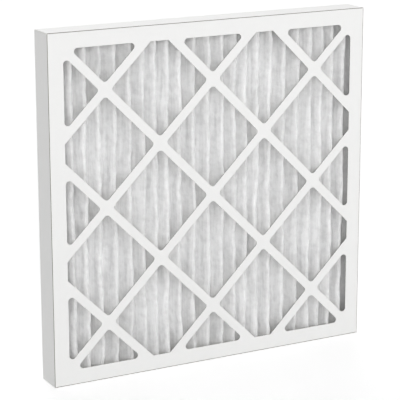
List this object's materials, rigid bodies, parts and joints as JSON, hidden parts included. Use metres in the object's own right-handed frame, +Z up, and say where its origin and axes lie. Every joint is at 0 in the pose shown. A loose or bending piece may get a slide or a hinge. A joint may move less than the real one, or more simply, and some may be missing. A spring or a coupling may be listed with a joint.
{
  "type": "pleated panel air filter",
  "caption": "Square disposable panel air filter: a pleated nonwoven pack on a wire grid, held between two nested die-cut board trays with diagonal supports.",
  "frame": {"origin": "middle of the bottom edge, halfway through the depth", "axes": "+X right along the face, +Z up along the pleats, +Y the way the air goes; air enters at -Y"},
  "size_m": [0.4952, 0.0444, 0.4953],
  "materials": {
    "board": "matte white clay coating, raw grey-brown cut edges",
    "media": "matte white lofted nonwoven",
    "wire": "galvanised, satin",
    "adhesive": "dried adhesive, satin"
  },
  "bodies": {
    "root": {"rear_frame": "board", "front_frame": "board", "pleated_media": "media", "pleat_wires": "wire", "cross_wires": "wire", "adhesive_bottom": "adhesive", "adhesive_top": "adhesive", "adhesive_left": "adhesive", "adhesive_right": "adhesive", "front_bond_lines": "adhesive", "rear_bond_lines": "adhesive"}
  },
  "joints": []
}
